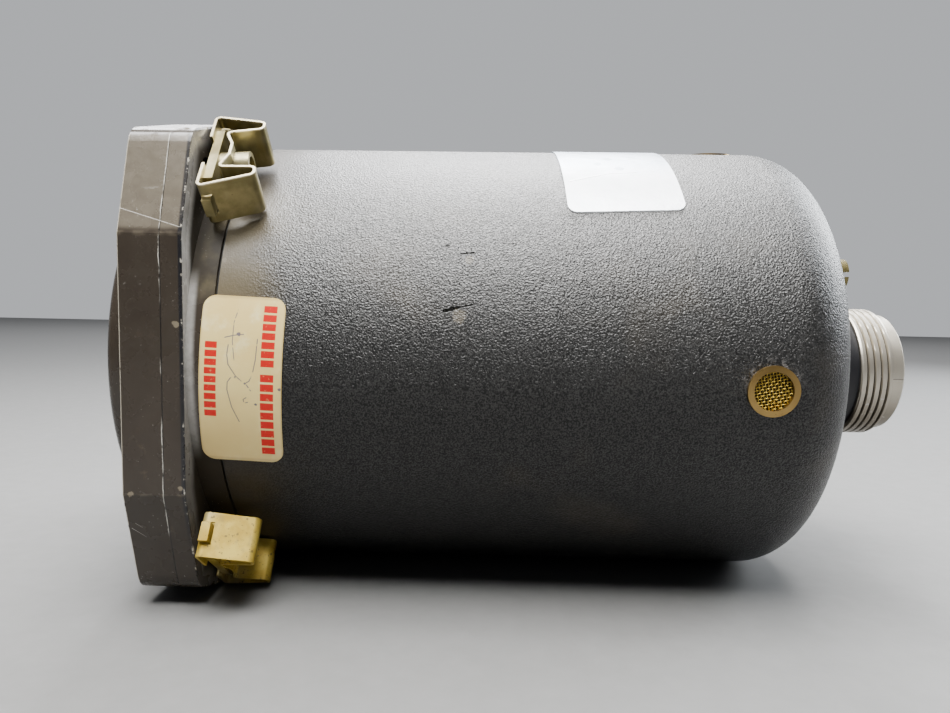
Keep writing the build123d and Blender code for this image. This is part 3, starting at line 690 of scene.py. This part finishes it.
def piece(name, mesh, material, smooth=None):
    """Add a mesh as a piece of the fixed body; smooth is the largest angle that is shaded round."""
    obj = bpy.data.objects.new(name, mesh)
    bpy.context.scene.collection.objects.link(obj)
    mesh.materials.append(material)
    if smooth is not None:
        mesh.polygons.foreach_set("use_smooth", [True] * len(mesh.polygons))
        mesh.set_sharp_from_angle(angle=radians(smooth))
    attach(obj, ROOT)
    return obj


def built_piece(name, build, material, smooth=None):
    """Add a bmesh as a piece."""
    mesh = bpy.data.meshes.new(name)
    build.to_mesh(mesh)
    build.free()
    return piece(name, mesh, material, smooth)


def ring_mesh(name, rings):
    """Closed mesh from rings of points, where the last ring joins the first."""
    count = len(rings[0])
    faces = []
    for i in range(len(rings)):
        row, following = i * count, (i + 1) % len(rings) * count
        for j in range(count):
            k = (j + 1) % count
            faces.append((row + j, row + k, following + k, following + j))
    mesh = bpy.data.meshes.new(name)
    mesh.from_pydata([point for ring in rings for point in ring], [], faces)
    mesh.update()
    return mesh


def thread_radius(x, turn):
    """Radius of the thread at a place along it and a share of a turn: wide crests, narrow grooves."""
    phase = ((x - THREAD_START) / THREAD_PITCH - turn) % 1.0
    flank = min(1.0, max(0.0, (abs(phase - 0.5) * 2 - GROOVE_FLOOR) / GROOVE_FLANK))
    fade = max(0.0, min(1.0, (x - THREAD_START) / THREAD_FADE, (THREAD_END - x) / THREAD_FADE))
    return THREAD_CREST - THREAD_DEPTH * (1 - flank) * fade - THREAD_END_DROP * (1 - fade)


def connector_piece(material):
    """The connector's shell, turned from a profile, where no radius means that of the real thread."""
    low, high = span("connector_shell")
    back, front = low.x / MM, high.x / MM
    centre_z = (low.z + high.z) / 2
    backing_r = (high.y - low.y) / 2 / MM
    barrel_start = back + BACKING_THICK
    shoulder_r = THREAD_CREST - THREAD_SHOULDER
    profile = [(back, SOCKET_R), (back, backing_r), (barrel_start, backing_r), (barrel_start, BARREL_R),
               (THREAD_START, BARREL_R), (THREAD_START, shoulder_r)]
    steps = int((THREAD_END - THREAD_START) / THREAD_STEP)
    profile += [(THREAD_START + (i + 0.5) * THREAD_STEP, None) for i in range(steps)]
    profile += [(THREAD_END, shoulder_r),
                (THREAD_END, NOSE_R - NOSE_STEP_BEVEL), (THREAD_END + NOSE_STEP_BEVEL, NOSE_R),
                (front - NOSE_BEVEL, NOSE_R), (front, NOSE_R - NOSE_BEVEL),
                (front, SOCKET_R + MOUTH_BEVEL), (front - MOUTH_BEVEL, SOCKET_R)]
    rings = []
    for x, r in profile:
        ring = []
        for j in range(SHELL_SEGMENTS):
            turn = j / SHELL_SEGMENTS
            radius = (thread_radius(x, turn) if r is None else r) * MM
            a = 2 * pi * turn
            ring.append((x * MM, radius * cos(a), centre_z + radius * sin(a)))
        rings.append(ring)
    name = "connector_threaded_shell"
    obj = piece(name, ring_mesh(name, rings), material, 32)
    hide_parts("connector_shell")


# Vent screens
WIRE_R = 0.088
WIRE_PITCH = 0.47
WIRE_SIDES = 6
WEAVE_TURN = 12
WEAVE_RISE = 0.02
STEPS_A_CROSSING = 3
SCREEN_R = 3.0
SHADE_DISC_R = 2.97
SHADE_DISC_DROP = 0.32
SHADE_DISC_SIDES = 48


def screen_wires(build, frame_matrix, along_first):
    """Add one set of woven wires to a bmesh."""
    count = int(SCREEN_R / WIRE_PITCH)
    for n in range(-count, count + 1):
        offset = n * WIRE_PITCH
        half = sqrt(SCREEN_R ** 2 - offset ** 2)
        steps = max(2, int(2 * half * STEPS_A_CROSSING / WIRE_PITCH))
        sign = 1 if (n % 2 == 0) == along_first else -1
        rings = []
        for i in range(steps + 1):
            t = -half + 2 * half * i / steps
            lift = sign * WIRE_R * cos(pi * t / WIRE_PITCH)
            ring = []
            for k in range(WIRE_SIDES):
                a = 2 * pi * k / WIRE_SIDES
                side, up = offset + WIRE_R * cos(a), WIRE_R * sin(a) + lift
                local = (t, side, up) if along_first else (side, t, up)
                ring.append(build.verts.new(frame_matrix @ Vector(local)))
            rings.append(ring)
        for first, second in zip(rings, rings[1:]):
            for k in range(WIRE_SIDES):
                m = (k + 1) % WIRE_SIDES
                build.faces.new((first[k], first[m], second[m], second[k]))


def vent_screen(name, angle, material, shade_disc):
    """Woven screen over a dark disc of painted shade, in place of the plain disc."""
    low, high = span(name)
    a = radians(angle)
    out = Vector((0, -cos(a), sin(a)))
    side = Vector((0, sin(a), cos(a)))
    middle = (low + high) / 2
    height = middle.dot(out) + WEAVE_RISE * MM
    base = Matrix(((1, 0, 0, middle.x), (0, side.y, out.y, height * out.y),
                   (0, side.z, out.z, height * out.z), (0, 0, 0, 1)))
    matrix = base @ Matrix.Scale(MM, 4) @ Matrix.Rotation(radians(WEAVE_TURN), 4, "Z")
    weave = bmesh.new()
    screen_wires(weave, matrix, True)
    screen_wires(weave, matrix, False)
    obj = built_piece(name + "_weave", weave, material, 60)
    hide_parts(name)
    # Painted shade: a dark disc under the weave, for the vent's dark inside.
    disc = bmesh.new()
    bmesh.ops.create_circle(disc, cap_ends=True, segments=SHADE_DISC_SIDES, radius=SHADE_DISC_R,
                            matrix=matrix @ Matrix.Translation((0, 0, -SHADE_DISC_DROP)))
    built_piece(name + "_shade_disc", disc, shade_disc)


# Dial print
DIAL_TURN = 300
DIAL_ZERO = 210
DIAL_MAJOR = 10
DIAL_MINOR = 5
TICK_OUT = 30.6
TICK_IN_MAJOR = 26.6
TICK_IN_MINOR = 28.6
TICK_WIDTH_MAJOR = 0.7
TICK_WIDTH_MINOR = 0.35
NUMERAL_R = 22.6
NUMERAL_SIZE = 4.6
PRINT_RISE = 0.03
# Words as text, angle, radius and size; numerals on the pointers as node, text and radius
DIAL_WORDS = (("RPM", 0, 12.5, 3.4), ("x 1000", 180, 12.0, 2.6))
POINTER_NUMERALS = (("pointer_one", "1", 8.0), ("pointer_two", "2", 7.0))
POINTER_NUMERAL_SIZE = 2.2


def dial_spot(angle, radius):
    """Point on the dial's print, at an angle clockwise from the top as the reader sees it."""
    a = radians(angle)
    return Vector((dial_front - PRINT_RISE * MM, -radius * MM * sin(a), radius * MM * cos(a)))


def add_tick(build, angle, inner, outer, width):
    """Flat tick mark."""
    a = radians(angle)
    side = Vector((0, -cos(a), -sin(a))) * width * MM / 2
    start, end = dial_spot(angle, inner), dial_spot(angle, outer)
    corners = (start - side, start + side, end + side, end - side)
    build.faces.new([build.verts.new(corner) for corner in corners])


def add_text(build, words, centre, size):
    """Flat text, facing the reader of the dial."""
    data = bpy.data.curves.new("numeral", "FONT")
    data.body = words
    data.size = size * MM
    data.align_x = "CENTER"
    data.align_y = "CENTER"
    text = bpy.data.objects.new("numeral", data)
    bpy.context.scene.collection.objects.link(text)
    mesh = bpy.data.meshes.new_from_object(text)
    mesh.transform(Matrix(((0, 0, -1, centre.x), (-1, 0, 0, centre.y), (0, 1, 0, centre.z), (0, 0, 0, 1))))
    build.from_mesh(mesh)
    bpy.data.objects.remove(text)
    bpy.data.meshes.remove(mesh)


def dial_print(material):
    """Scale, numerals and words of the dial."""
    build = bmesh.new()
    for i in range(DIAL_MAJOR * DIAL_MINOR + 1):
        angle = DIAL_ZERO + DIAL_TURN * i / (DIAL_MAJOR * DIAL_MINOR)
        if i % DIAL_MINOR == 0:
            add_tick(build, angle, TICK_IN_MAJOR, TICK_OUT, TICK_WIDTH_MAJOR)
            add_text(build, str(i // DIAL_MINOR), dial_spot(angle, NUMERAL_R), NUMERAL_SIZE)
        else:
            add_tick(build, angle, TICK_IN_MINOR, TICK_OUT, TICK_WIDTH_MINOR)
    for words, angle, radius, size in DIAL_WORDS:
        add_text(build, words, dial_spot(angle, radius), size)
    built_piece("dial_print", build, material)


def pointer_print(material):
    """Numeral on each pointer's wide end, riding with it."""
    for name, words, radius in POINTER_NUMERALS:
        spot = dial_spot(DIAL_ZERO, radius)
        spot.x = span(name)[0].x - PRINT_RISE * MM
        build = bmesh.new()
        add_text(build, words, spot, POINTER_NUMERAL_SIZE)
        obj = built_piece(name + "_numeral", build, material)
        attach(obj, "movement_" + name)


def dress_outside():
    """Finishes and added pieces of everything that shows from outside."""
    dress(wrinkle_paint(), "case")
    dress(flange_enamel(), "mounting_flange", "bezel")
    clean = cadmium("cadmium_clean", 0.25, (0.16, 0.132, 0.052), (0.28, 0.235, 0.105), cut_edges=True)
    spotted = cadmium("cadmium_spotted", 1.0, (0.38, 0.25, 0.022), (0.54, 0.40, 0.075))
    dress(clean, "clip_spring_1", "clip_spring_2", "clip_nut_1", "clip_nut_2", "case_screws")
    dress(spotted, "clip_spring_3", "clip_spring_4", "clip_nut_3", "clip_nut_4")
    dress(machined("screw_steel", (0.22, 0.21, 0.18), (0.10, 0.095, 0.08), (0.3, 0.5)), "plate_screws")
    dress(sticker_paper(), "inspection_sticker")
    dress(label_foil(), "label_plate")
    neck = plain("neck_paint", (0.004, 0.004, 0.006), (0.010, 0.010, 0.013), (0.4, 0.6), 1200, 0.03)
    dress(neck, "connector_boss")
    rubber = plain("insert_rubber", (0.016, 0.015, 0.014), (0.030, 0.028, 0.026), (0.5, 0.7))
    dress(rubber, "connector_insert", "glass_gasket", "case_seal")
    brass = machined("brass", (0.70, 0.52, 0.22), (0.50, 0.34, 0.12))
    dress(brass, "connector_pins", "spring_studs", "hairspring_one", "hairspring_two", "staff_bearings",
          "pointer_arbor_one", "pointer_arbor_two")
    rim = machined("vent_rim_metal", (0.42, 0.28, 0.10), (0.26, 0.17, 0.06), (0.3, 0.5), turned=False)
    dress(rim, "side_vent_rim", "top_vent_rim")
    connector_piece(connector_alloy())
    wire = machined("screen_wire", (0.50, 0.36, 0.07), (0.30, 0.20, 0.035), (0.25, 0.45), turned=False)
    # Dark disc of painted shade under the vent screens.
    shade_disc = plain("screen_shade_disc", (0.008, 0.006, 0.003), (0.020, 0.014, 0.006), (0.5, 0.7))
    vent_screen("side_vent_mesh", SIDE_VENT[1], wire, shade_disc)
    vent_screen("top_vent_mesh", TOP_VENT_ANGLE, wire, shade_disc)


def dress_inside():
    """Finishes of the dial and the movement."""
    white = plain("dial_white", (0.70, 0.69, 0.63), (0.84, 0.83, 0.77), (0.5, 0.7))
    black = plain("dial_black", (0.010, 0.010, 0.011), (0.018, 0.018, 0.018), (0.6, 0.8), 2500)
    dress(clear_glass(), "cover_glass")
    dress(black, "dial", "glass_retainer")
    dress(white, "pointer_one", "pointer_two")
    dial_print(white)
    pointer_print(black)
    alloy = machined("frame_alloy", (0.66, 0.66, 0.64), (0.50, 0.50, 0.48))
    steel = machined("steel", (0.52, 0.52, 0.52), (0.36, 0.36, 0.36))
    copper = machined("copper_wire", (0.52, 0.22, 0.09), (0.34, 0.13, 0.05))
    dress(alloy, "front_plate", "staff_plate", "motor_plate", "rear_plate")
    dress(steel, "dial_screws", "frame_pillars", "case_posts", "motor_bearings")
    for unit in ("_one", "_two"):
        dress(alloy, "motor_housing" + unit, "drag_disc" + unit)
        dress(steel, "stator" + unit, "rotor" + unit, "rotor_shaft" + unit, "magnet_head" + unit,
              "staff" + unit)
        dress(copper, "winding" + unit)


def make_camera():
    """The photograph's camera."""
    data = bpy.data.cameras.new("photo_camera")
    data.sensor_width = SENSOR_WIDTH
    data.lens = SENSOR_WIDTH * FOCAL_PX / PHOTO_WIDTH
    data.shift_x = -CENTRE_SHIFT_PX[0] / PHOTO_WIDTH
    data.shift_y = CENTRE_SHIFT_PX[1] / PHOTO_WIDTH
    data.clip_start = 5 * MM
    camera = bpy.data.objects.new("photo_camera", data)
    bpy.context.scene.collection.objects.link(camera)
    level = Vector((cos(CAMERA_YAW), sin(CAMERA_YAW), 0))
    ahead = Vector((-sin(CAMERA_YAW), cos(CAMERA_YAW), 0))
    forward = cos(CAMERA_PITCH) * ahead - Vector((0, 0, sin(CAMERA_PITCH)))
    upright = level.cross(forward)
    right = cos(CAMERA_ROLL) * level + sin(CAMERA_ROLL) * upright
    up = cos(CAMERA_ROLL) * upright - sin(CAMERA_ROLL) * level
    turn = Matrix((right, up, -forward)).transposed().to_4x4()
    camera.matrix_world = Matrix.Translation(at(*CAMERA_PLACE)) @ turn
    bpy.context.scene.camera = camera


# Stage, in metres: lamps as name, place, size, power and colour, aimed at one point
LAMPS = (("back", (0.06, 0.12, 0.37), 0.34, 3.7, (1.0, 0.99, 0.98)),
         ("over", (0.02, -0.12, 0.33), 0.27, 5.0, (1.0, 0.99, 0.97)),
         ("side", (0.54, 0.27, 0.29), 0.34, 6.0, (0.92, 0.96, 1.0)),
         ("far", (0.05, 0.95, 1.15), 0.60, 24.0, (0.97, 0.98, 1.0)))
LAMP_TARGET = (0.05, 0.0, 0.0)
FLOOR_HALF = 1.6
# The room's light is weaker in front, where the camera is, than behind: share of +Y and strength at each end
ROOM_COLOUR = (0.74, 0.76, 0.79, 1.0)
ROOM_SPAN = (-0.6, 0.9)
ROOM_STRENGTH = (0.09, 0.70)


def area_light(name, place, size, power, colour):
    """Soft square lamp."""
    data = bpy.data.lights.new(name, "AREA")
    data.size = size
    data.energy = power
    data.color = colour
    lamp = bpy.data.objects.new(name, data)
    bpy.context.scene.collection.objects.link(lamp)
    aim = (Vector(LAMP_TARGET) - Vector(place)).to_track_quat("-Z", "Y")
    lamp.matrix_world = Matrix.Translation(Vector(place)) @ aim.to_matrix().to_4x4()


def make_floor():
    """Pale floor that touches the lower clips and the case's rear, as the instrument lies."""
    rear_x = case_high.x - CASE_CORNER * MM
    clip_low = span("clip_spring_3")[0]
    slope = (case_low.z - clip_low.z) / (rear_x - clip_low.x)
    h = FLOOR_HALF
    corners = [(x, y, clip_low.z + slope * (x - clip_low.x)) for x, y in ((-h, -h), (h, -h), (h, h), (-h, h))]
    mesh = bpy.data.meshes.new("floor")
    mesh.from_pydata(corners, [], [(0, 1, 2, 3)])
    s = Shader("pale_floor", specular=0.3)
    colour = s.mix(s.noise(260, 4.0), (0.175, 0.175, 0.173), (0.21, 0.21, 0.208))
    mesh.materials.append(s.done(colour, 0.85))
    floor = bpy.data.objects.new("floor", mesh)
    bpy.context.scene.collection.objects.link(floor)


def make_room():
    """Even light from all round, weaker in front than behind."""
    world = bpy.data.worlds.new("studio")
    world.use_nodes = True
    tree = world.node_tree
    background = tree.nodes["Background"]
    background.inputs["Color"].default_value = ROOM_COLOUR
    place = tree.nodes.new("ShaderNodeTexCoord")
    split = tree.nodes.new("ShaderNodeSeparateXYZ")
    fade = tree.nodes.new("ShaderNodeMapRange")
    fade.interpolation_type = "SMOOTHSTEP"
    for socket, value in zip(fade.inputs[1:5], (*ROOM_SPAN, *ROOM_STRENGTH)):
        socket.default_value = value
    tree.links.new(place.outputs["Generated"], split.inputs[0])
    tree.links.new(split.outputs[1], fade.inputs[0])
    tree.links.new(fade.outputs[0], background.inputs["Strength"])
    bpy.context.scene.world = world


dress_outside()
dress_inside()
make_camera()
make_floor()
for lamp in LAMPS:
    area_light(*lamp)
make_room()
